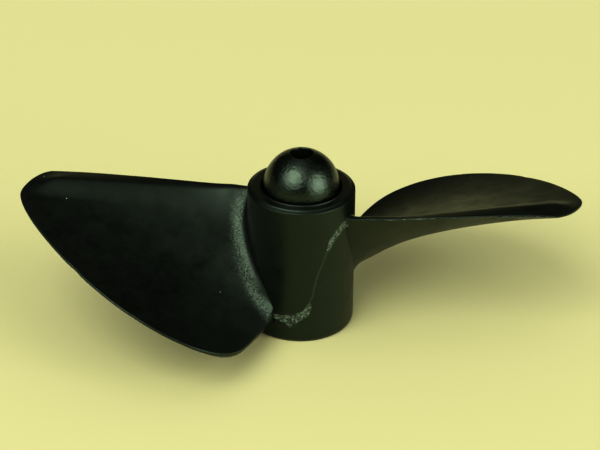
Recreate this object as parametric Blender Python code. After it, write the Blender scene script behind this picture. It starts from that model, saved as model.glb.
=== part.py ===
"""Two-bladed moulded propeller of a model boat, standing upright on the front end of its hub.

+Z is the shaft axis and points aft, to the domed end. The origin is the middle of the hub's front
face. One blade reaches towards -X, and the other is the same blade turned half round the shaft.
"""
import bpy
import bmesh
from math import atan2, cos, hypot, pi, radians, sin, sqrt, tau
from mathutils import Vector
from mathutils.geometry import interpolate_bezier

# Hub and core, in metres
HUB_LENGTH = 0.0134
HUB_RADIUS_AFT = 0.0048
HUB_RADIUS_FRONT = 0.0049
RIM_CHAMFER = 0.0004
RIM_CHAMFER_HEIGHT = 0.00018
FOOT_CHAMFER = 0.0002
RECESS_RADIUS = 0.0036
RECESS_DEPTH = 0.0012
CORE_RADIUS = 0.0034
CORE_BORE_RADIUS = 0.00102
CORE_FIT_GAP = 0.00005
CORE_FOOT_INSET = 0.0003
DOME_CENTRE_ABOVE_RIM = 0.00005

# Aft face of the blade: its height on the blade's axis, and its pitch at the hub, middle and tip
FACE_HEIGHT_ROOT = 0.0090
FACE_RISE = 0.0033
FACE_RISE_POWER = 1.55
PITCH_ROOT = 0.0371
PITCH_MIDDLE = 0.0405
PITCH_TIP = 0.0212

# Thickness of the blade, square to its face, and how far in from each edge it is reached
THICKNESS_ROOT = 0.00205
THICKNESS_TIP = 0.00105
THICKNESS_AT_EDGE = 0.00026
THICKER_EDGE_AT_ROOT = 0.00016
THICKER_EDGE_UNTIL = 0.35
TRAILING_BEVEL = 0.0030
LEADING_BEVEL = 0.0048
ROOT_FILLET = 0.0016
FILLET_AT_LEADING_EDGE = 0.4

# Where the trailing edge meets the hub it sinks a little
SAG_AT_ROOT = 0.0004
SAG_REACH = 0.0024
SAG_WIDTH = 0.0020

# Raised lip on the aft face along the trailing edge: its crest lies in from the edge, its foot
# further in, and it grows from the hub outwards, between a least and a greatest share of its size
LIP_HEIGHT = 0.00041
LIP_HEIGHT_FROM = 0.0063
LIP_CREST = 0.0013
LIP_CREST_FROM = 0.0040
LIP_FULL_AT = 0.0210
LIP_FOOT = 0.0005
LIP_LEAST_HEIGHT = 0.1
LIP_LEAST_CREST = 0.15
LIP_GREATEST = 1.1
LIP_END = 0.0030

# Outline seen along the shaft: x runs out along the blade, y towards its leading edge
ROOT_RADIUS = 0.0043
TRAILING_ROOT = Vector((0.0033, -0.00268))
TRAILING_CORNER = Vector((0.0223, -0.00336))
TIP = Vector((0.0250, 0.0))
LOBE_TOP = Vector((0.0096, 0.01375))
LEADING_HEEL = Vector((0.00465, 0.00995))
LEADING_ROOT = Vector((0.0021, 0.00375))
CORNER_PULL = 0.0012
TIP_PULL = 0.0029
LOBE_PULL_OUT = 0.0081
LOBE_PULL_IN = 0.0029
HEEL_PULL = 0.0017

# Plastics: linear base colours, and how rough the moulded skin and the polished core are
MOULDED_BLACK = (0.012, 0.013, 0.011)
MOULDED_ROUGHNESS = 0.42
POLISHED_BLACK = (0.010, 0.011, 0.009)
POLISHED_ROUGHNESS = 0.25

# Fineness of the mesh
HUB_SIDES = 64
DOME_STEPS = 10
STEPS_ALONG_BLADE = 16
CROWDING_TOWARDS_HUB = 1.5
LINES_UP_THE_LIP = (0.0, 0.2, 0.5, 1.0)
FIRST_LINE_PAST_LIP = 1.1
STEPS_CORNER = 10
STEPS_TIP_TO_LOBE = 14
STEPS_LOBE_TO_HEEL = 6
SHARP_FROM = radians(35)


def clear_scene():
    for old in list(bpy.data.objects):
        bpy.data.objects.remove(old, do_unlink=True)


def plastic(name, colour, roughness):
    material = bpy.data.materials.new(name)
    material.use_nodes = True
    shader = material.node_tree.nodes["Principled BSDF"]
    shader.inputs["Base Color"].default_value = (*colour, 1.0)
    shader.inputs["Roughness"].default_value = roughness
    shader.inputs["Metallic"].default_value = 0.0
    return material


def add_object(name, builder, material):
    mesh = bpy.data.meshes.new(name)
    builder.to_mesh(mesh)
    builder.free()
    mesh.materials.append(material)
    mesh.shade_smooth()
    mesh.set_sharp_from_angle(angle=SHARP_FROM)
    made = bpy.data.objects.new(name, mesh)
    bpy.context.collection.objects.link(made)
    return made


def turned(section):
    """A closed ring with this section of (radius, height) points, turned round the shaft axis"""
    builder = bmesh.new()
    points = [builder.verts.new((radius, 0.0, height)) for radius, height in section]
    edges = [builder.edges.new((points[i - 1], points[i])) for i in range(len(points))]
    bmesh.ops.spin(builder, geom=points + edges, cent=(0, 0, 0), axis=(0, 0, 1), angle=tau,
                   steps=HUB_SIDES, use_merge=True, use_duplicate=False)
    bmesh.ops.recalc_face_normals(builder, faces=builder.faces)
    return builder


def hub_section():
    """Tapered sleeve with a chamfered rim and foot, a shallow recess and a bore for the core"""
    bore = CORE_RADIUS + CORE_FIT_GAP
    return [
        (bore, 0.0),
        (HUB_RADIUS_FRONT - FOOT_CHAMFER, 0.0),
        (HUB_RADIUS_FRONT, FOOT_CHAMFER),
        (HUB_RADIUS_AFT, HUB_LENGTH - RIM_CHAMFER_HEIGHT),
        (HUB_RADIUS_AFT - RIM_CHAMFER, HUB_LENGTH),
        (RECESS_RADIUS, HUB_LENGTH),
        (RECESS_RADIUS, HUB_LENGTH - RECESS_DEPTH),
        (bore, HUB_LENGTH - RECESS_DEPTH),
    ]


def core_section():
    """Plug with a round dome at its aft end and a bore right through it"""
    centre = HUB_LENGTH + DOME_CENTRE_ABOVE_RIM
    mouth = atan2(CORE_BORE_RADIUS, CORE_RADIUS)
    section = [(CORE_BORE_RADIUS, CORE_FOOT_INSET), (CORE_RADIUS, CORE_FOOT_INSET)]
    for step in range(DOME_STEPS + 1):
        polar = (pi / 2 - mouth) * step / DOME_STEPS
        section.append((CORE_RADIUS * cos(polar), centre + CORE_RADIUS * sin(polar)))
    return section


def clamp(value, low=0.0, high=1.0):
    return min(high, max(low, value))


def eased(value):
    """Leaves 0 and reaches 1 with no slope"""
    share = clamp(value)
    return share * share * (3 - 2 * share)


def rounded(value):
    """Rises steeply from 0 and levels off at 1"""
    return 1 - (1 - clamp(value)) ** 2


EDGE_ALONG = (TRAILING_CORNER - TRAILING_ROOT).normalized()
EDGE_INWARD = Vector((-EDGE_ALONG.y, EDGE_ALONG.x))


def from_trailing_edge(flat):
    return (flat - TRAILING_ROOT).dot(EDGE_INWARD)


def grown(x, start, least):
    """Share of its full size that the lip has this far out along the blade"""
    return clamp((x - start) / (LIP_FULL_AT - start), least, LIP_GREATEST)


def crest_distance(x):
    return LIP_CREST * grown(x, LIP_CREST_FROM, LIP_LEAST_CREST)


def outline():
    """Curves round the blade: trailing corner to tip, then over the lobe to the heel"""
    heel_along = (LEADING_HEEL - LEADING_ROOT).normalized()
    corner = interpolate_bezier(
        TRAILING_CORNER, TRAILING_CORNER + EDGE_ALONG * CORNER_PULL,
        TIP - Vector((0, CORNER_PULL)), TIP, STEPS_CORNER + 1)
    lobe = interpolate_bezier(
        TIP, TIP + Vector((0, TIP_PULL)),
        LOBE_TOP + Vector((LOBE_PULL_OUT, 0)), LOBE_TOP, STEPS_TIP_TO_LOBE + 1)
    heel = interpolate_bezier(
        LOBE_TOP, LOBE_TOP - Vector((LOBE_PULL_IN, 0)),
        LEADING_HEEL + heel_along * HEEL_PULL, LEADING_HEEL, STEPS_LOBE_TO_HEEL + 1)
    return [point.xy for point in corner], [point.xy for point in lobe + heel[1:]]


def corner_point(corner, distance):
    """Where the corner curve is this far in from the trailing edge"""
    for before, after in zip(corner, corner[1:]):
        low, high = from_trailing_edge(before), from_trailing_edge(after)
        if high >= distance:
            return before.lerp(after, (distance - low) / (high - low))
    return corner[-1]


def blade_lines():
    """Start and end of each line of the blade's mesh, from the trailing to the leading edge"""
    corner, lobe = outline()
    crest = crest_distance(corner[-1].x)
    foot = crest + LIP_FOOT
    lines = []
    narrowing = crest_distance(TRAILING_ROOT.x) / crest
    for inward in [crest * share for share in LINES_UP_THE_LIP] + [foot]:
        start = TRAILING_ROOT + EDGE_INWARD * inward * narrowing
        lines.append((start, corner_point(corner, inward)))
    first = atan2(lines[-1][0].y, lines[-1][0].x)
    last = atan2(LEADING_ROOT.y, LEADING_ROOT.x)
    past_lip = foot * FIRST_LINE_PAST_LIP
    fan = [point for point in corner[:-1] if from_trailing_edge(point) > past_lip] + lobe
    for step, rim in enumerate(fan, start=1):
        angle = first + (last - first) * step / len(fan)
        lines.append((Vector((ROOT_RADIUS * cos(angle), ROOT_RADIUS * sin(angle))), rim))
    return lines


def pitch(share):
    """Pitch at this share of the way from the hub to the tip, through its three given values"""
    bow = 4 * PITCH_MIDDLE - 2 * PITCH_ROOT - 2 * PITCH_TIP
    return PITCH_ROOT + (PITCH_TIP - PITCH_ROOT) * share + bow * share * (1 - share)


def lip(flat, from_edge):
    """Height of the raised lip: up from the trailing edge to its crest, then down to its foot"""
    inward = from_trailing_edge(flat)
    crest = crest_distance(flat.x)
    height = LIP_HEIGHT * grown(flat.x, LIP_HEIGHT_FROM, LIP_LEAST_HEIGHT)
    height *= eased(from_edge / LIP_END)
    if inward < crest:
        return height * clamp(inward / crest)
    return height * clamp(1 - (inward - crest) / LIP_FOOT)


def root_fillet(radius):
    inside = clamp(1 - (radius - HUB_RADIUS_AFT) / ROOT_FILLET)
    return ROOT_FILLET * (1 - sqrt(1 - inside ** 2))


def root_sag(radius, inward):
    """How far the trailing edge sinks where it meets the hub"""
    near_hub = 1 - eased((radius - HUB_RADIUS_AFT) / SAG_REACH)
    return SAG_AT_ROOT * near_hub * (1 - eased(inward / SAG_WIDTH))


def blade_heights(flat, from_edge):
    """Heights of the aft and front skins over a point of the outline: a screw face, a round back"""
    radius = hypot(flat.x, flat.y)
    share = clamp((radius - HUB_RADIUS_AFT) / (TIP.x - HUB_RADIUS_AFT))
    lead = pitch(share) / tau
    face = FACE_HEIGHT_ROOT + FACE_RISE * (1 - (1 - share) ** FACE_RISE_POWER)
    face -= lead * atan2(flat.y, flat.x)
    inward = from_trailing_edge(flat)
    full = min(rounded(inward / TRAILING_BEVEL), rounded(from_edge / LEADING_BEVEL))
    body = THICKNESS_ROOT + (THICKNESS_TIP - THICKNESS_ROOT) * share
    edge = THICKNESS_AT_EDGE + THICKER_EDGE_AT_ROOT * (1 - eased(share / THICKER_EDGE_UNTIL))
    slope = sqrt(1 + (lead / radius) ** 2)
    thickness = (edge + (body - edge) * full) * slope
    leading = FILLET_AT_LEADING_EDGE + (1 - FILLET_AT_LEADING_EDGE) * rounded(from_edge / ROOT_FILLET)
    fillet = root_fillet(radius) * rounded(inward / ROOT_FILLET) * leading
    face -= root_sag(radius, inward)
    return face + lip(flat, from_edge) + fillet, face - thickness - fillet


def from_leading_edge(flat, rim):
    """Distance in from the leading edge: from the outline's point, or from the straight heel"""
    heel_along = (LEADING_HEEL - LEADING_ROOT).normalized()
    heel_inward = Vector((heel_along.y, -heel_along.x))
    return min((rim - flat).length, abs((flat - LEADING_ROOT).dot(heel_inward)))


def blade():
    """Two skins over the same outline, joined round their rims by upright walls"""
    lines = blade_lines()
    across = len(lines) - 1
    builder = bmesh.new()
    for skin in (0, 1):
        grid = bmesh.ops.create_grid(builder, x_segments=across, y_segments=STEPS_ALONG_BLADE, size=0.5)
        for vert in grid["verts"]:
            start, rim = lines[round((vert.co.x + 0.5) * across)]
            flat = start.lerp(rim, (vert.co.y + 0.5) ** CROWDING_TOWARDS_HUB)
            heights = blade_heights(flat, from_leading_edge(flat, rim))
            vert.co = (flat.x, flat.y, heights[skin])
    rims = [edge for edge in builder.edges if edge.is_boundary]
    bmesh.ops.bridge_loops(builder, edges=rims)
    bmesh.ops.recalc_face_normals(builder, faces=builder.faces)
    return builder


def join_to(base, addition):
    """Union with a form that stays in the file as a guide"""
    addition.hide_render = True
    addition.display_type = "WIRE"
    union = base.modifiers.new(addition.name, "BOOLEAN")
    union.operation = "UNION"
    union.solver = "EXACT"
    union.object = addition


clear_scene()
black_nylon = plastic("black_nylon", MOULDED_BLACK, MOULDED_ROUGHNESS)
polished_nylon = plastic("polished_nylon", POLISHED_BLACK, POLISHED_ROUGHNESS)

moulding = add_object("hub_and_blades", turned(hub_section()), black_nylon)
for form_name, half_turns in (("blade_right", 0), ("blade_left", 1)):
    form = add_object(form_name, blade(), black_nylon)
    form.rotation_euler.z = pi * half_turns
    join_to(moulding, form)

add_object("domed_core", turned(core_section()), polished_nylon)
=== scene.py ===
"""Looks of a small moulded boat propeller: a black nylon hub with two blades, and its glossy core."""
import bpy
import bmesh
from math import asin, atan2, cos, exp, hypot, pi, radians, sin, sqrt, tau
from mathutils import Matrix, Vector, noise
from mathutils.geometry import interpolate_bezier


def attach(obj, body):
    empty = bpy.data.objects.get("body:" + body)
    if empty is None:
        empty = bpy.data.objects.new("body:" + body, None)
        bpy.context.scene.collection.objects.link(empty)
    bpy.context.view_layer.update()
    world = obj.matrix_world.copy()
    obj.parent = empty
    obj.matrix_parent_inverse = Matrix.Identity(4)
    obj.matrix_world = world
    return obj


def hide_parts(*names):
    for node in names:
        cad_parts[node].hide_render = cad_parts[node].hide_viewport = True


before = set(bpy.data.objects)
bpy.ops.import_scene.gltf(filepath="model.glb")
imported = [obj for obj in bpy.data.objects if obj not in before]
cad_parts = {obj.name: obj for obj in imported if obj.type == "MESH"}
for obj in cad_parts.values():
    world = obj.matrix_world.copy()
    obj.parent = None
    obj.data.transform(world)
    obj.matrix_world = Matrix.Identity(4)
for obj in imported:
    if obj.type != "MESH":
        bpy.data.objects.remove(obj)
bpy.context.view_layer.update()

# Hub sleeve. The middle of the one moulding: a slightly tapered tube of black nylon that stands on
# its front end. Its rim has a low step and falls off to the wall, and a fine round burr stands up
# where the shallow recess was cut.
MM = 0.001
HUB_LENGTH = 13.4 * MM
HUB_RADIUS_AFT = 4.8 * MM
HUB_RADIUS_FRONT = 4.9 * MM
RIM_CHAMFER = 0.40 * MM
RIM_CHAMFER_HEIGHT = 0.18 * MM
RIM_STEP_WIDTH = 0.07 * MM
RIM_STEP_HEIGHT = 0.09 * MM
FOOT_CHAMFER = 0.14 * MM
FOOT_CHAMFER_HEIGHT = 0.30 * MM
RECESS_RADIUS = 3.6 * MM
RECESS_DEPTH = 1.2 * MM
BURR_RADIUS = 0.09 * MM
BURR_STEPS = 6
CORE_SEAT_RADIUS = 3.45 * MM
MOULD_RADIUS = 0.05 * MM
HUB_SIDES = 192
HUB_RINGS = 64

hub_section = [
    (CORE_SEAT_RADIUS, 0.0),
    (HUB_RADIUS_FRONT - FOOT_CHAMFER, 0.0),
    (HUB_RADIUS_FRONT, FOOT_CHAMFER_HEIGHT),
    (HUB_RADIUS_AFT, HUB_LENGTH - RIM_CHAMFER_HEIGHT),
    (HUB_RADIUS_AFT - RIM_CHAMFER + RIM_STEP_WIDTH, HUB_LENGTH - RIM_STEP_HEIGHT),
    (HUB_RADIUS_AFT - RIM_CHAMFER, HUB_LENGTH),
]
for step in range(BURR_STEPS + 1):
    turn = pi * step / BURR_STEPS
    hub_section.append((RECESS_RADIUS + BURR_RADIUS * (1 + cos(turn)),
                        HUB_LENGTH + BURR_RADIUS * sin(turn)))
hub_section += [
    (RECESS_RADIUS, HUB_LENGTH - RECESS_DEPTH),
    (CORE_SEAT_RADIUS, HUB_LENGTH - RECESS_DEPTH),
]


def turned(section, edge_radius, rounded_corners, sides, rings):
    """Turns a closed section about the shaft, with its named corners rounded and its longest side cut"""
    made = bmesh.new()
    face = made.faces.new([made.verts.new((radius, 0.0, height)) for radius, height in section])
    corners = [face.verts[index] for index in rounded_corners]
    bmesh.ops.bevel(made, geom=corners, affect="VERTICES", offset=edge_radius, segments=3,
                    profile=0.5, material=-1)
    bmesh.ops.delete(made, geom=made.faces[:], context="FACES_ONLY")
    longest = max(made.edges, key=lambda edge: edge.calc_length())
    bmesh.ops.subdivide_edges(made, edges=[longest], cuts=rings)
    bmesh.ops.spin(made, geom=made.verts[:] + made.edges[:], cent=(0, 0, 0), axis=(0, 0, 1),
                   angle=tau, steps=sides, use_merge=True, use_duplicate=False)
    bmesh.ops.recalc_face_normals(made, faces=made.faces)
    return made


def added(name, made):
    """Links a finished bmesh as a smooth object at the origin"""
    mesh = bpy.data.meshes.new(name)
    made.to_mesh(mesh)
    made.free()
    mesh.shade_smooth()
    piece = bpy.data.objects.new(name, mesh)
    bpy.context.collection.objects.link(piece)
    return piece


hub = turned(hub_section, MOULD_RADIUS, (1, 2, 3, 5), HUB_SIDES, HUB_RINGS)
moulding = added("moulded_hub_and_blades", hub)

# Blades. Each has a screw face aft, which rises to a low lip and is bevelled from there to a thin
# trailing edge, and a round back. They come out of the mould with the hub, joined to it by fillets,
# with a thin broken flash along the trailing edge. Handling has nicked the leading edge.
FACE_HEIGHT_ROOT = 9.0 * MM
FACE_RISE = 3.3 * MM
FACE_RISE_POWER = 1.55
PITCH_ROOT = 37.1 * MM
PITCH_MIDDLE = 40.5 * MM
PITCH_TIP = 21.2 * MM
THICKNESS_ROOT = 2.05 * MM
THICKNESS_TIP = 1.05 * MM
THICKNESS_AT_EDGE = 0.26 * MM
THICKER_TRAILING_EDGE = 0.05 * MM
THICKER_EDGE_AT_ROOT = 0.16 * MM
THICKER_EDGE_UNTIL = 0.35
TRAILING_BEVEL = 3.0 * MM
LEADING_BEVEL = 4.8 * MM
ROOT_FILLET = 1.6 * MM
FILLET_AT_LEADING_EDGE = 0.4
FILLET_FULL_FROM_TRAILING_EDGE = 3.2 * MM
SAG_AT_ROOT = 0.40 * MM
SAG_REACH = 2.4 * MM
SAG_WIDTH = 2.0 * MM
EDGE_RADIUS = 0.10 * MM
TRAILING_EDGE_RADIUS = 0.05 * MM
TRAILING_WALL = 0.11 * MM

LIP_HEIGHT = 0.41 * MM
LIP_HEIGHT_FROM = 6.3 * MM
LIP_CREST = 1.6 * MM
LIP_CREST_FROM = -5.0 * MM
LIP_FULL_AT = 21.0 * MM
LIP_FOOT = 2.2 * MM
LIP_LEAST_HEIGHT = 0.25
LIP_LEAST_CREST = 0.15
LIP_GREATEST = 1.1
BEVEL_BEND = 1.5
LIP_SOFTNESS = 0.12
LIP_END = 3.0 * MM

ROOT_RADIUS = 4.3 * MM
TRAILING_ROOT = Vector((3.3, -2.88)) * MM
TRAILING_CORNER = Vector((22.3, -3.40)) * MM
TIP = Vector((25.0, 0.0)) * MM
LOBE_TOP = Vector((9.6, 13.75)) * MM
LEADING_HEEL = Vector((4.65, 9.95)) * MM
LEADING_ROOT = Vector((2.1, 3.75)) * MM
CORNER_PULL = 1.2 * MM
TIP_PULL = 2.9 * MM
LOBE_PULL_OUT = 8.1 * MM
LOBE_PULL_IN = 2.9 * MM
HEEL_PULL = 1.7 * MM

FLASH_FROM = 5.2 * MM
FLASH_UNTIL = 22.0 * MM
FLASH_LEAST = 0.02 * MM
FLASH_MOST = 0.10 * MM
FLASH_LENGTH = 0.9 * MM
NICKS = (((20.9, 0.07, 0.25), (15.2, 0.04, 0.20)), ((19.4, 0.10, 0.45), (14.1, 0.05, 0.25)))
WAVY_BY = 0.03 * MM
WAVE_LENGTH = 1.3 * MM

ROWS_IN_FILLET = 16
ROWS_BEYOND_FILLET = 70
EDGE_STEPS = 4
TRAILING_EDGE_STEPS = 4
LINES_UP_THE_LIP = 8
LINES_DOWN_THE_LIP = 6
LINED_PAST_CREST = 1.4 * MM
FIRST_LINE_PAST_LIP = 1.06
STEPS_CORNER = 30
STEPS_TIP_TO_LOBE = 72
STEPS_LOBE_TO_HEEL = 18

edge_along = (TRAILING_CORNER - TRAILING_ROOT).normalized()
edge_inward = Vector((-edge_along.y, edge_along.x))
heel_along = (LEADING_HEEL - LEADING_ROOT).normalized()
heel_inward = Vector((heel_along.y, -heel_along.x))


def clamp(value, low=0.0, high=1.0):
    return min(high, max(low, value))


def eased(value):
    """Leaves 0 and reaches 1 with no slope"""
    share = clamp(value)
    return share * share * (3 - 2 * share)


def rounded(value):
    """Rises steeply from 0 and levels off at 1"""
    return 1 - (1 - clamp(value)) ** 2


def from_trailing_edge(flat):
    return (flat - TRAILING_ROOT).dot(edge_inward)


def grown(x, start, least):
    """Share of its full size that the lip has this far out along the blade"""
    return clamp((x - start) / (LIP_FULL_AT - start), least, LIP_GREATEST)


def crest_distance(x):
    return LIP_CREST * grown(x, LIP_CREST_FROM, LIP_LEAST_CREST)


def edge_distances(radius, steps):
    """How far in from an edge the mesh has its lines, to follow the rounding there"""
    turns = [pi / 2 * step / (steps - 1) for step in range(steps)]
    return [radius * (1 - cos(turn)) for turn in turns]


def edge_drop(distance, radius):
    """How far the skin has fallen away this near to an edge of this radius"""
    short = radius - clamp(distance, 0.0, radius)
    return radius - sqrt(radius ** 2 - short ** 2)


def way_to(radius, start, along):
    """How far along from the start a straight line in plan reaches this radius"""
    middle = start.dot(along)
    return sqrt(middle ** 2 - start.length_squared + radius ** 2) - middle


def corner_point(corner, distance):
    """Where the corner curve is this far in from the trailing edge"""
    for before, after in zip(corner, corner[1:]):
        low, high = from_trailing_edge(before), from_trailing_edge(after)
        if high >= distance:
            return before.lerp(after, (distance - low) / (high - low))
    return corner[-1]


def across_lip(x):
    """How far in from the trailing edge the mesh has its lines, over the edge and the lip"""
    crest = crest_distance(x)
    lined = LINED_PAST_CREST * grown(x, LIP_CREST_FROM, LIP_LEAST_CREST)
    up = [TRAILING_EDGE_RADIUS + (crest - TRAILING_EDGE_RADIUS) * step / LINES_UP_THE_LIP
          for step in range(1, LINES_UP_THE_LIP + 1)]
    down = [crest + lined * step / LINES_DOWN_THE_LIP for step in range(1, LINES_DOWN_THE_LIP + 1)]
    return edge_distances(TRAILING_EDGE_RADIUS, TRAILING_EDGE_STEPS) + up + down


def blade_lines():
    """Start and end of each line across the blade, seen along the shaft, from edge to edge"""
    corner = interpolate_bezier(
        TRAILING_CORNER, TRAILING_CORNER + edge_along * CORNER_PULL,
        TIP - Vector((0, CORNER_PULL)), TIP, STEPS_CORNER + 1)
    lobe = interpolate_bezier(
        TIP, TIP + Vector((0, TIP_PULL)),
        LOBE_TOP + Vector((LOBE_PULL_OUT, 0)), LOBE_TOP, STEPS_TIP_TO_LOBE + 1)
    heel = interpolate_bezier(
        LOBE_TOP, LOBE_TOP - Vector((LOBE_PULL_IN, 0)),
        LEADING_HEEL + heel_along * HEEL_PULL, LEADING_HEEL, STEPS_LOBE_TO_HEEL + 1)
    corner = [point.xy for point in corner]
    lines = []
    for begin, end in zip(across_lip(TRAILING_ROOT.x), across_lip(corner[-1].x)):
        start = TRAILING_ROOT + edge_inward * begin
        start += edge_along * way_to(ROOT_RADIUS, start, edge_along)
        lines.append((start, corner_point(corner, end)))
    first = atan2(lines[-1][0].y, lines[-1][0].x)
    last = atan2(LEADING_ROOT.y, LEADING_ROOT.x)
    past_lip = end * FIRST_LINE_PAST_LIP
    fan = [point for point in corner[:-1] if from_trailing_edge(point) > past_lip]
    fan += [point.xy for point in lobe + heel[1:]]
    for step, rim in enumerate(fan, start=1):
        angle = first + (last - first) * step / len(fan)
        lines.append((Vector((ROOT_RADIUS * cos(angle), ROOT_RADIUS * sin(angle))), rim))
    return lines


def worn(rim, half_turns):
    """Moves a point of the leading edge in by the edge's waves and nicks"""
    place = Vector((rim.x, rim.y, half_turns * HUB_LENGTH)) / WAVE_LENGTH
    depth = WAVY_BY * (0.5 + 0.5 * noise.noise(place))
    for out, deep, wide in NICKS[half_turns]:
        depth += deep * MM * exp(-((rim.x - out * MM) / (wide * MM)) ** 2)
    return rim * (1 - depth * eased(from_trailing_edge(rim) / TRAILING_BEVEL) / rim.length)


def pitch(share):
    """Pitch at this share of the way from the hub to the tip, through its three given values"""
    bow = 4 * PITCH_MIDDLE - 2 * PITCH_ROOT - 2 * PITCH_TIP
    return PITCH_ROOT + (PITCH_TIP - PITCH_ROOT) * share + bow * share * (1 - share)


def lip(flat, from_edge):
    """Height of the raised lip: up from the trailing edge to its crest, then down to its foot"""
    inward = from_trailing_edge(flat)
    crest = crest_distance(flat.x)
    height = LIP_HEIGHT * grown(flat.x, LIP_HEIGHT_FROM, LIP_LEAST_HEIGHT)
    height *= eased(from_edge / LIP_END)
    outer = inward / crest
    inner = 1 - eased((inward - crest) / LIP_FOOT)
    apart = eased(0.5 + (inner - outer) / (2 * LIP_SOFTNESS))
    return height * clamp(inner + (outer - inner) * apart - LIP_SOFTNESS * apart * (1 - apart))


def root_fillet(radius):
    inside = clamp(1 - (radius - HUB_RADIUS_AFT) / ROOT_FILLET)
    return ROOT_FILLET * (1 - sqrt(1 - inside ** 2))


def root_sag(radius, inward):
    """How far the trailing edge sinks where it meets the hub"""
    near_hub = 1 - eased((radius - HUB_RADIUS_AFT) / SAG_REACH)
    return SAG_AT_ROOT * near_hub * (1 - eased(inward / SAG_WIDTH))


def blade_heights(flat, from_edge):
    """Heights of the aft and front skins over a point of the outline: a screw face, a round back"""
    radius = hypot(flat.x, flat.y)
    share = clamp((radius - HUB_RADIUS_AFT) / (TIP.x - HUB_RADIUS_AFT))
    lead = pitch(share) / tau
    inward = from_trailing_edge(flat)
    face = FACE_HEIGHT_ROOT + FACE_RISE * (1 - (1 - share) ** FACE_RISE_POWER)
    face -= lead * atan2(flat.y, flat.x) + root_sag(radius, inward)
    full = min(rounded(inward / TRAILING_BEVEL), rounded(from_edge / LEADING_BEVEL))
    body = THICKNESS_ROOT + (THICKNESS_TIP - THICKNESS_ROOT) * share
    edge = THICKNESS_AT_EDGE + THICKER_TRAILING_EDGE * (1 - eased(inward / TRAILING_BEVEL))
    edge += THICKER_EDGE_AT_ROOT * (1 - eased(share / THICKER_EDGE_UNTIL))
    slope = sqrt(1 + (lead / radius) ** 2)
    thickness = (edge + (body - edge) * full) * slope
    leading = FILLET_AT_LEADING_EDGE + (1 - FILLET_AT_LEADING_EDGE) * rounded(from_edge / ROOT_FILLET)
    fillet = root_fillet(radius) * eased(inward / FILLET_FULL_FROM_TRAILING_EDGE) * leading
    outside_crest = 1 - clamp(inward / crest_distance(flat.x))
    bevel = (edge * slope - TRAILING_WALL) * outside_crest ** BEVEL_BEND
    drop = edge_drop(from_edge, EDGE_RADIUS) * (1 - eased(outside_crest))
    aft_drop = bevel + max(drop, edge_drop(inward, TRAILING_EDGE_RADIUS))
    return face + lip(flat, from_edge) + fillet - aft_drop, face - thickness - fillet + drop


def stations(start, rim):
    """Points along a line of the blade, close together in the fillet and at the edge"""
    length = (rim - start).length
    along = (rim - start) / length
    radii = [(ROOT_RADIUS + HUB_RADIUS_AFT) / 2]
    for step in range(ROWS_IN_FILLET + 1):
        turn = pi / 2 * step / ROWS_IN_FILLET
        radii.append(HUB_RADIUS_AFT + ROOT_FILLET * (1 - cos(turn)))
    reached = [0.0] + [way_to(radius, start, along) for radius in radii]
    first = reached[-1]
    last = length - EDGE_RADIUS
    for step in range(1, ROWS_BEYOND_FILLET):
        reached.append(first + (last - first) * step / ROWS_BEYOND_FILLET)
    reached += [length - distance for distance in reversed(edge_distances(EDGE_RADIUS, EDGE_STEPS))]
    return [start + along * distance for distance in reached]


def flash(x, half_turns):
    """How far the thin flash stands out from the trailing edge, this far out along the blade"""
    ends = eased((x - FLASH_FROM) / FLASH_LENGTH) * eased((FLASH_UNTIL - x) / FLASH_LENGTH)
    lumps = noise.fractal(Vector((x / FLASH_LENGTH, half_turns, 0.5)), 0.8, 2.0, 3)
    return (FLASH_LEAST + (FLASH_MOST - FLASH_LEAST) * clamp(lumps)) * ends


def blade(half_turns):
    """Two skins over one outline, joined round their rims by upright walls with rounded edges"""
    lines = [stations(start, worn(rim, half_turns)) for start, rim in blade_lines()]
    across = len(lines) - 1
    outward = len(lines[0]) - 1
    made = bmesh.new()
    for skin in (0, 1):
        grid = bmesh.ops.create_grid(made, x_segments=across, y_segments=outward, size=0.5)
        for vert in grid["verts"]:
            place = round((vert.co.x + 0.5) * across)
            line = lines[place]
            flat = line[round((vert.co.y + 0.5) * outward)]
            from_heel = abs((flat - LEADING_ROOT).dot(heel_inward))
            heights = blade_heights(flat, min((line[-1] - flat).length, from_heel))
            if place == 0 and skin == 1:
                flat = flat - edge_inward * flash(flat.x, half_turns)
            vert.co = (flat.x, flat.y, heights[skin])
    rims = [edge for edge in made.edges if edge.is_boundary]
    bmesh.ops.bridge_loops(made, edges=rims)
    bmesh.ops.recalc_face_normals(made, faces=made.faces)
    bmesh.ops.rotate(made, verts=made.verts, cent=(0, 0, 0),
                     matrix=Matrix.Rotation(pi * half_turns, 3, "Z"))
    return made


blades = [added("blade_right", blade(0)), added("blade_left", blade(1))]
for form in blades:
    union = moulding.modifiers.new(form.name, "BOOLEAN")
    union.operation = "UNION"
    union.solver = "EXACT"
    union.object = form
fused = bpy.data.meshes.new_from_object(moulding.evaluated_get(bpy.context.evaluated_depsgraph_get()))
moulding.modifiers.clear()
moulding.data = fused
for form in blades:
    bpy.data.objects.remove(form, do_unlink=True)

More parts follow.
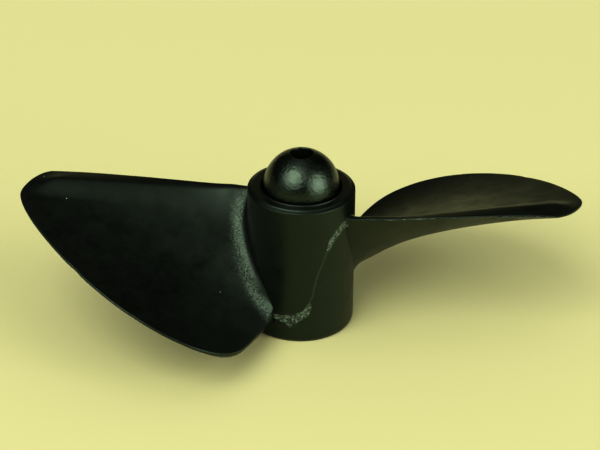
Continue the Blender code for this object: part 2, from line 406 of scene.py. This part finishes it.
# Marks of the mould. The halves of the mould met along a line that runs down the hub from one
# blade's trailing edge to the other's leading edge. It has left a thin raised seam, and where this
# was trimmed off the skin is scraped. The fillets aft of each blade are pitted by a coarser tool.
# Heights are in millimetres and angles in degrees round the hub, 0 at the front of the picture.
SEAM = ((66.8, 11.14), (57.5, 11.23), (48.7, 11.16), (40.0, 10.75), (33.6, 10.11), (28.1, 9.02),
        (22.7, 7.82), (18.4, 6.92), (15.4, 5.84), (12.9, 4.76), (9.6, 4.10), (3.5, 3.20),
        (-6.0, 2.60), (-16.0, 2.42), (-27.8, 2.27))
SCRAPES = (
    ((68, 11.45), (57, 11.55), (48, 11.45), (38, 10.95), (31, 10.20), (28, 9.30), (31, 9.20),
     (37, 9.95), (44, 10.50), (51, 10.80), (60, 10.85), (68, 10.80)),
    ((-28, 2.70), (-21, 2.62), (-8, 2.95), (3, 3.32), (10, 4.15), (12.5, 3.80), (10, 2.85),
     (3.5, 2.45), (-2.5, 2.12), (-9, 1.50), (-16, 2.00), (-28, 2.20)),
)
SEAM_REACH = 0.35 * MM
SEAM_HALF_WIDTH = 0.07 * MM
SEAM_HEIGHT = 0.05 * MM
SCRAPE_SOFTNESS = 0.08 * MM
SCRAPE_RELIEF = 0.05 * MM
SCRAPE_GRAIN = 0.22 * MM
CUTS_NEAR_SEAM = 2
BAND_FROM = 4.95 * MM
BAND_FULL_AT = 5.60 * MM
BAND_FADES_FROM = 5.65 * MM
BAND_UNTIL = 6.75 * MM
BAND_FROM_TRAILING_EDGE = 1.9 * MM
BAND_RELIEF = 0.018 * MM
BAND_GRAIN = 0.26 * MM
SINK_RELIEF = 0.012 * MM
SINK_LENGTH = 2.6 * MM


def on_hub(place):
    """Length round the hub and height of a point, turned half round if it is behind"""
    turn = atan2(place.x, -place.y)
    middle = radians(20)
    turn = (turn - middle + pi / 2) % pi - pi / 2 + middle
    return Vector((turn * HUB_RADIUS_FRONT, place.z))


def unrolled(points):
    return [Vector((radians(turn) * HUB_RADIUS_FRONT, height * MM)) for turn, height in points]


def to_segment(spot, begin, end):
    """Distance from a spot to a straight piece of a line"""
    share = clamp((spot - begin).dot(end - begin) / (end - begin).length_squared)
    return (spot - begin.lerp(end, share)).length


def to_line(spot, points):
    return min(to_segment(spot, begin, end) for begin, end in zip(points, points[1:]))


def into_patch(spot, points):
    """How deep a spot lies inside a closed outline, negative outside it"""
    inside = False
    for begin, end in zip(points, points[1:] + points[:1]):
        if (begin.y > spot.y) != (end.y > spot.y):
            crossing = begin.x + (end.x - begin.x) * (spot.y - begin.y) / (end.y - begin.y)
            inside = inside != (spot.x < crossing)
    away = to_line(spot, points + points[:1])
    return away if inside else -away


def near_hub_wall(place):
    return hypot(place.x, place.y) < HUB_RADIUS_FRONT + MOULD_RADIUS


seam = unrolled(SEAM)
scrapes = [unrolled(points) for points in SCRAPES]
surface = bmesh.new()
surface.from_mesh(fused)
close = []
for edge in surface.edges:
    middle = (edge.verts[0].co + edge.verts[1].co) / 2
    if near_hub_wall(middle) and middle.z < HUB_LENGTH - RIM_CHAMFER:
        spot = on_hub(middle)
        if to_line(spot, seam) < SEAM_REACH or max(into_patch(spot, p) for p in scrapes) > -SEAM_REACH:
            close.append(edge)
bmesh.ops.subdivide_edges(surface, edges=close, cuts=CUTS_NEAR_SEAM, use_grid_fill=True)
surface.normal_update()

marks = {name: surface.verts.layers.float.new(name) for name in ("seam", "scrape", "band", "flash")}
moves = []
for vert in surface.verts:
    place = vert.co
    radius = hypot(place.x, place.y)
    move = SINK_RELIEF * noise.noise(place / SINK_LENGTH) * eased(place.z / FOOT_CHAMFER_HEIGHT - 1)
    if near_hub_wall(place) and abs(vert.normal.z) < 0.5:
        spot = on_hub(place)
        away = to_line(spot, seam) + 0.3 * SEAM_HALF_WIDTH * noise.noise(place / SCRAPE_GRAIN)
        ridge = exp(-(away / SEAM_HALF_WIDTH) ** 2)
        depth = max(into_patch(spot, outline) for outline in scrapes)
        depth += 0.5 * SCRAPE_SOFTNESS * noise.noise(place / SCRAPE_GRAIN)
        scraped = eased(0.5 + depth / SCRAPE_SOFTNESS)
        grain = noise.fractal(place / SCRAPE_GRAIN, 0.7, 2.0, 3)
        vert[marks["seam"]] = ridge
        vert[marks["scrape"]] = scraped
        move += SEAM_HEIGHT * ridge * (1 - 0.5 * scraped) + SCRAPE_RELIEF * scraped * grain
        move += 0.6 * SCRAPE_RELIEF * exp(-(depth / SCRAPE_SOFTNESS) ** 2)
    elif radius > HUB_RADIUS_FRONT:
        band = eased((radius - BAND_FROM) / (BAND_FULL_AT - BAND_FROM))
        band *= 1 - eased((radius - BAND_FADES_FROM) / (BAND_UNTIL - BAND_FADES_FROM))
        sense = 1 if place.x > 0 else -1
        inward = from_trailing_edge(place.xy * sense)
        band *= eased(0.5 + 2 * vert.normal.z) * eased(inward / BAND_FROM_TRAILING_EDGE)
        # The band mark also places painted glints, painted highlights on the pits, in the material below.
        vert[marks["band"]] = band
        move += BAND_RELIEF * band * noise.fractal(place / BAND_GRAIN, 0.8, 2.0, 3)
        vert[marks["flash"]] = clamp(-inward / FLASH_LEAST)
    moves.append(vert.normal * move)
for vert, move in zip(surface.verts, moves):
    vert.co += move
surface.to_mesh(fused)
surface.free()
fused.shade_smooth()
fused.set_sharp_from_angle(angle=radians(40))

# Black nylon. Nylon 6 coloured with carbon black, and moulded against a finely blasted steel tool.
# The eye sees a satin, slightly green black. It turns grey where it is scraped or burred, and has dried
# drops, fine scratches and a few specks of dust. Grey specks on the pitted fillet bands are painted
# glints, painted highlights where the pits catch the lamps. On the scraped patches the paler grey is
# partly the scraped skin's own grey and partly such painted glints.


def linear(hex_colour):
    """A colour written as an sRGB hex value, as the linear values that shaders take"""
    channels = [int(hex_colour[start:start + 2], 16) / 255 for start in (1, 3, 5)]
    return [c / 12.92 if c <= 0.04045 else ((c + 0.055) / 1.055) ** 2.4 for c in channels] + [1.0]


def add(tree, kind, links=(), sockets=(), **settings):
    """Adds a node, sets its properties and sockets, and links (socket, node, output) to it"""
    node = tree.nodes.new(kind)
    for name, value in settings.items():
        if hasattr(node, name):
            setattr(node, name, value)
        else:
            node.inputs[name.replace("_", " ")].default_value = value
    for socket, value in sockets:
        node.inputs[socket].default_value = value
    for socket, source, output in links:
        tree.links.new(source.outputs[output], node.inputs[socket])
    return node


def new_material(name):
    material = bpy.data.materials.new(name)
    material.use_nodes = True
    material.node_tree.nodes.clear()
    return material, material.node_tree


GREEN_SHEEN = (0.72, 1.0, 0.70, 1.0)

black_nylon, tree = new_material("blasted_black_nylon")
where = add(tree, "ShaderNodeTexCoord")
at = ("Vector", where, "Object")
clouds = add(tree, "ShaderNodeTexNoise", [at], Scale=1 / (2.2 * MM), Detail=4.0, Roughness=0.6,
             Distortion=0.5)
grain = add(tree, "ShaderNodeTexNoise", [at], Scale=1 / (0.16 * MM), Detail=3.0, Roughness=0.6)
pits = add(tree, "ShaderNodeTexNoise", [at], Scale=1 / (0.19 * MM), Detail=2.0, Roughness=0.55)
drops = add(tree, "ShaderNodeTexNoise", [at], Scale=1 / (1.7 * MM), Detail=1.0, Roughness=0.4,
            Distortion=0.3)
band = add(tree, "ShaderNodeAttribute", attribute_name="band")
scrape = add(tree, "ShaderNodeAttribute", attribute_name="scrape")
seam_mark = add(tree, "ShaderNodeAttribute", attribute_name="seam")
flash_mark = add(tree, "ShaderNodeAttribute", attribute_name="flash")

# Painted highlights: grey specks on the pits of the fillet bands, painted glints of the lamps.
glints = add(tree, "ShaderNodeMapRange", [("Value", pits, "Fac")], From_Min=0.42, From_Max=0.74)
band_glints = add(tree, "ShaderNodeMath", [(0, glints, "Result"), (1, band, "Fac")], operation="MULTIPLY")
# Scraped patches: a paler grey, partly the scraped skin's own grey and partly painted glints, painted
# highlights on its grain.
scrape_glints = add(tree, "ShaderNodeMapRange", [("Value", pits, "Fac")], From_Min=0.38, From_Max=0.72)
scraped = add(tree, "ShaderNodeMath", [(0, scrape_glints, "Result"), (1, scrape, "Fac")],
              operation="MULTIPLY")
burr_breaks = add(tree, "ShaderNodeMapRange", [("Value", grain, "Fac")], From_Min=0.48, From_Max=0.62)
burred = add(tree, "ShaderNodeMath", [(0, burr_breaks, "Result"), (1, flash_mark, "Fac")],
             operation="MULTIPLY")
drop_rims = add(tree, "ShaderNodeMapRange", [("Value", drops, "Fac")], From_Min=0.555, From_Max=0.575)

dust_cells = add(tree, "ShaderNodeTexVoronoi", [at], Scale=1 / (1.15 * MM), Randomness=1.0)
dust_size = add(tree, "ShaderNodeMapRange", [("Value", dust_cells, "Distance")],
                From_Min=0.032, From_Max=0.050, To_Min=1.0, To_Max=0.0)
dust_kept = add(tree, "ShaderNodeSeparateColor", [("Color", dust_cells, "Color")])
dust_few = add(tree, "ShaderNodeMath", [(0, dust_kept, "Red")], [(1, 0.80)], operation="GREATER_THAN")
dust = add(tree, "ShaderNodeMath", [(0, dust_size, "Result"), (1, dust_few, "Value")],
           operation="MULTIPLY")

# Colours over the black: painted glints on the pitted bands, scraped grey that is partly painted glints,
# the whitened flash, and dust.
WORN_AND_GLINT_COLOURS = (
    (band_glints, "Value", "#434e41"), (scraped, "Value", "#5c6a57"), (burred, "Value", "#69735f"),
    (dust, "Value", "#98a292"),
)
colour = add(tree, "ShaderNodeMix", [(0, seam_mark, "Fac")],
             [(6, linear("#060805")), (7, linear("#23291f"))], data_type="RGBA")
for share, output, worn_or_glint_colour in WORN_AND_GLINT_COLOURS:
    colour = add(tree, "ShaderNodeMix", [(0, share, output), (6, colour, 2)],
                 [(7, linear(worn_or_glint_colour))], data_type="RGBA")
satin = add(tree, "ShaderNodeMapRange", [("Value", clouds, "Fac")],
            From_Min=0.3, From_Max=0.7, To_Min=0.34, To_Max=0.47)
dried = add(tree, "ShaderNodeMath", [(0, drop_rims, "Result"), (2, satin, "Result")], [(1, -0.04)],
            operation="MULTIPLY_ADD")
rough = add(tree, "ShaderNodeMath", [(0, scrape, "Fac"), (2, dried, "Value")], [(1, 0.10)],
            operation="MULTIPLY_ADD")
fine_bump = add(tree, "ShaderNodeBump", [("Height", grain, "Fac")], Strength=0.5, Distance=0.006 * MM)
pit_bump = add(tree, "ShaderNodeBump",
               [("Height", pits, "Fac"), ("Strength", band, "Fac"), ("Normal", fine_bump, "Normal")],
               Distance=0.06 * MM)
scrape_bump = add(tree, "ShaderNodeBump",
                  [("Height", pits, "Fac"), ("Strength", scrape, "Fac"), ("Normal", pit_bump, "Normal")],
                  Distance=0.08 * MM)
shader = add(tree, "ShaderNodeBsdfPrincipled",
             [("Base Color", colour, 2), ("Roughness", rough, "Value"), ("Normal", scrape_bump, "Normal")],
             IOR=1.53, Specular_Tint=GREEN_SHEEN)
add(tree, "ShaderNodeOutputMaterial", [("Surface", shader, "BSDF")])
moulding.data.materials.clear()
moulding.data.materials.append(black_nylon)
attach(moulding, "root")
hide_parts("hub_and_blades")

# Domed core. A turned plug pressed into the sleeve, with a round dome and the 2 mm shaft hole
# through it. It is polished, so it shows the lamps, broken up by fine scratches from handling.
CORE_RADIUS = 3.4 * MM
CORE_BORE_RADIUS = 1.02 * MM
CORE_FOOT_INSET = 0.3 * MM
DOME_CENTRE_ABOVE_RIM = 0.05 * MM
DOME_STEPS = 40
CORE_SIDES = 160
BORE_MOUTH_RADIUS = 0.08 * MM

dome_centre = HUB_LENGTH + DOME_CENTRE_ABOVE_RIM
dome_end = pi / 2 - asin(CORE_BORE_RADIUS / CORE_RADIUS)
core_section = [(CORE_BORE_RADIUS, CORE_FOOT_INSET), (CORE_RADIUS, CORE_FOOT_INSET)]
for step in range(DOME_STEPS + 1):
    polar = dome_end * step / DOME_STEPS
    core_section.append((CORE_RADIUS * cos(polar), dome_centre + CORE_RADIUS * sin(polar)))
core = added("polished_domed_core", turned(core_section, BORE_MOUTH_RADIUS, (-1,), CORE_SIDES, 8))
core.data.set_sharp_from_angle(angle=radians(40))

polished_nylon, tree = new_material("polished_black_nylon")
where = add(tree, "ShaderNodeTexCoord")
at = ("Vector", where, "Object")
stretched = add(tree, "ShaderNodeMapping", [at], Scale=(0.12, 0.12, 1.0))
turning = add(tree, "ShaderNodeTexNoise", [("Vector", stretched, "Vector")], Scale=1 / (0.14 * MM),
              Detail=2.0, Roughness=0.6)
mottle = add(tree, "ShaderNodeTexNoise", [at], Scale=1 / (0.30 * MM), Detail=4.0, Roughness=0.65)
clouds = add(tree, "ShaderNodeTexNoise", [at], Scale=1 / (1.4 * MM), Detail=3.0, Roughness=0.6)
gloss = add(tree, "ShaderNodeMapRange", [("Value", clouds, "Fac")],
            From_Min=0.3, From_Max=0.7, To_Min=0.17, To_Max=0.31)
turning_bump = add(tree, "ShaderNodeBump", [("Height", turning, "Fac")], Strength=0.6,
                   Distance=0.012 * MM)
mottle_bump = add(tree, "ShaderNodeBump", [("Height", mottle, "Fac"), ("Normal", turning_bump, "Normal")],
                  Strength=1.0, Distance=0.05 * MM)
shader = add(tree, "ShaderNodeBsdfPrincipled",
             [("Roughness", gloss, "Result"), ("Normal", mottle_bump, "Normal")],
             Base_Color=linear("#050704"), IOR=1.65, Specular_Tint=GREEN_SHEEN)
add(tree, "ShaderNodeOutputMaterial", [("Surface", shader, "BSDF")])
core.data.materials.append(polished_nylon)
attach(core, "root")
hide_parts("domed_core")

# Table. A plain pale matt sheet that the propeller stands on.
TABLE_SIZE = 4.0

sheet = bmesh.new()
bmesh.ops.create_grid(sheet, x_segments=1, y_segments=1, size=TABLE_SIZE / 2)
table = added("table", sheet)
pale_card, tree = new_material("pale_matt_card")
shader = add(tree, "ShaderNodeBsdfPrincipled", Base_Color=linear("#a4a373"), Roughness=0.9)
add(tree, "ShaderNodeOutputMaterial", [("Surface", shader, "BSDF")])
table.data.materials.append(pale_card)

# Studio light. Two large soft boxes in front of the propeller, left and right of the camera, a dim
# one overhead, a faint low one behind that is as pale yellow as the card, and a dim even light from
# all round that fills the shadows.
WHITE = "#ffffff"
CARD_YELLOW = "#fffcbe"
LAMPS = (
    ("soft_box_left", -36, 47, 1.4, 1.30, 27.5, WHITE),
    ("soft_box_right", 58, 21, 1.4, 1.20, 23.5, WHITE),
    ("soft_box_above", -70, 78, 1.4, 1.60, 4.0, WHITE),
    ("soft_box_behind", 180, 12, 1.4, 1.00, 0.7, CARD_YELLOW),
)

for name, azimuth, elevation, distance, size, power, tint in LAMPS:
    light = bpy.data.lights.new(name, "AREA")
    light.shape = "DISK"
    light.size = size
    light.energy = power
    light.color = linear(tint)[:3]
    lamp = bpy.data.objects.new(name, light)
    bpy.context.collection.objects.link(lamp)
    level = cos(radians(elevation))
    towards = Vector((sin(radians(azimuth)) * level, -cos(radians(azimuth)) * level,
                      sin(radians(elevation))))
    lamp.location = Vector((0, 0, HUB_LENGTH)) + towards * distance
    lamp.rotation_euler = towards.to_track_quat("Z", "Y").to_euler()

world = bpy.data.worlds.new("studio")
world.use_nodes = True
world.node_tree.nodes["Background"].inputs["Color"].default_value = (0.9, 0.9, 0.88, 1.0)
world.node_tree.nodes["Background"].inputs["Strength"].default_value = 1.0
world.cycles_visibility.glossy = False
bpy.context.scene.world = world
bpy.context.scene.view_settings.view_transform = "Standard"
bpy.context.scene.view_settings.gamma = 0.74

# Camera. It looks down at the propeller from in front, with the two blades across the picture.
# A long lens a hand's breadth away gives the photograph's slight perspective.
PICTURE_WIDTH = 600
PICTURE_HEIGHT = 450
SENSOR_WIDTH = 36.0
FOCAL_LENGTH = 120.0
LOOKING_DOWN = 30.53
LEANING = 0.87
HUB_TOP_AT_PIXEL = (301.4, 185.7)
HUB_TOP_AWAY = 177.3 * MM

camera_data = bpy.data.cameras.new("camera")
camera_data.sensor_width = SENSOR_WIDTH
camera_data.lens = FOCAL_LENGTH
camera_data.clip_start = 5 * MM
camera_data.clip_end = 10.0
camera = bpy.data.objects.new("camera", camera_data)
bpy.context.collection.objects.link(camera)
camera.rotation_euler = (
    Matrix.Rotation(radians(90 - LOOKING_DOWN), 3, "X") @ Matrix.Rotation(radians(LEANING), 3, "Z")
).to_euler()
pixels_per_slope = PICTURE_WIDTH * FOCAL_LENGTH / SENSOR_WIDTH
sideways = (HUB_TOP_AT_PIXEL[0] - PICTURE_WIDTH / 2) / pixels_per_slope
upwards = (PICTURE_HEIGHT / 2 - HUB_TOP_AT_PIXEL[1]) / pixels_per_slope
hub_top = Vector((0, 0, HUB_LENGTH))
seen_from_camera = Vector((sideways, upwards, -1)) * HUB_TOP_AWAY
camera.location = hub_top - camera.rotation_euler.to_matrix() @ seen_from_camera
bpy.context.scene.camera = camera
